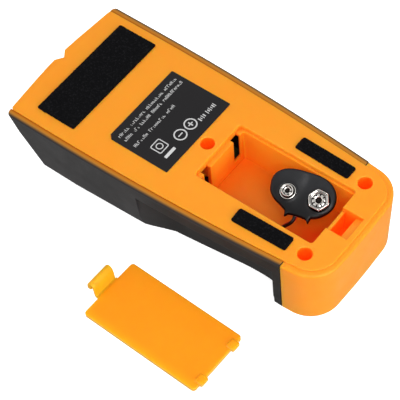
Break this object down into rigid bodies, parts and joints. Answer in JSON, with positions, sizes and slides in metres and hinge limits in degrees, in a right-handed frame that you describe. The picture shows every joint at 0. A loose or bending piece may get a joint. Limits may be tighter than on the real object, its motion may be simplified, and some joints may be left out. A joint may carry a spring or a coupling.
{
  "type": "stud finder",
  "caption": "Handheld wall scanner with felt glide pads on its back, an open battery bay with a snap lead, and its battery door taken off beside it.",
  "frame": {"origin": "on the flat front face (the key side, which it lies on), on the centreline, between the display and the keys", "axes": "+X from the sensing head to the tail, +Y to the right as seen from the back, +Z out of the back face that glides on the wall"},
  "size_m": [0.1451, 0.1077, 0.0309],
  "materials": {
    "orange_plastic": "satin",
    "dark_plastic": "satin",
    "gloss_black": "gloss",
    "clear_window": "gloss",
    "lcd_glass": "gloss",
    "white_plastic": "satin",
    "grey_elastomer": "matte",
    "circuit_board": "satin",
    "copper_plate": "satin",
    "copper_wire": "gloss",
    "ic_black": "matte",
    "component_grey": "matte",
    "red_diffuser": "gloss",
    "key_rubber": "matte",
    "screw_steel": "zinc plated",
    "felt_black": "napped",
    "label_film": "satin",
    "vinyl_black": "semi gloss",
    "nickel_contact": "polished",
    "lead_vinyl_black": "semi gloss",
    "lead_vinyl_red": "semi gloss"
  },
  "bodies": {
    "housing": {"back_shell": "orange_plastic", "front_shell": "dark_plastic", "display_bezel": "gloss_black", "display_window": "clear_window", "lcd_module": "lcd_glass", "lcd_frame": "ic_black", "lcd_backlight": "white_plastic", "zebra_strips": "grey_elastomer", "light_pipe": "red_diffuser", "status_led": "white_plastic", "main_pcb": "circuit_board", "board_screws": "screw_steel", "controller_chip": "ic_black", "amplifier_chip": "ic_black", "capacitors": "component_grey", "chip_resistors": "ic_black", "buzzer": "ic_black", "tact_switches": "component_grey", "sensing_board": "circuit_board", "sensing_plates": "copper_plate", "coil_bobbin": "white_plastic", "detector_coil": "copper_wire", "board_link_header": "ic_black", "housing_screws": "screw_steel", "head_pad": "felt_black", "right_pad": "felt_black", "left_pad": "felt_black", "rating_label": "label_film", "lead_black": "lead_vinyl_black", "lead_red": "lead_vinyl_red"},
    "metal_key": {"metal_key": "key_rubber"},
    "stud_key": {"stud_key": "key_rubber"},
    "live_wire_key": {"live_wire_key": "key_rubber"},
    "battery_door": {"battery_door": "orange_plastic"},
    "door_latch": {"door_latch": "orange_plastic"},
    "battery_snap": {"snap_body": "vinyl_black", "snap_stud": "nickel_contact", "snap_socket": "nickel_contact"}
  },
  "joints": [
    {"name": "metal_key_press", "type": "slide", "parent": "housing", "child": "metal_key", "axis": [0, 0, 1], "range_m": [0, 0.0005]},
    {"name": "stud_key_press", "type": "slide", "parent": "housing", "child": "stud_key", "axis": [0, 0, 1], "range_m": [0, 0.0005]},
    {"name": "live_wire_key_press", "type": "slide", "parent": "housing", "child": "live_wire_key", "axis": [0, 0, 1], "range_m": [0, 0.0005]},
    {"name": "door_lift", "type": "slide", "parent": "housing", "child": "battery_door", "axis": [0, 0, 1], "range_m": [0, 0.06]},
    {"name": "door_latch_flex", "type": "hinge", "parent": "battery_door", "child": "door_latch", "pos_m": [-0.00324, -0.05918, 0.0012], "axis": [0.0297, 0.9996, 0], "range_deg": [0, 8]},
    {"name": "snap_lift", "type": "slide", "parent": "housing", "child": "battery_snap", "axis": [0, 0, 1], "range_m": [0, 0.018], "deforming": ["lead_black", "lead_red"]}
  ]
}
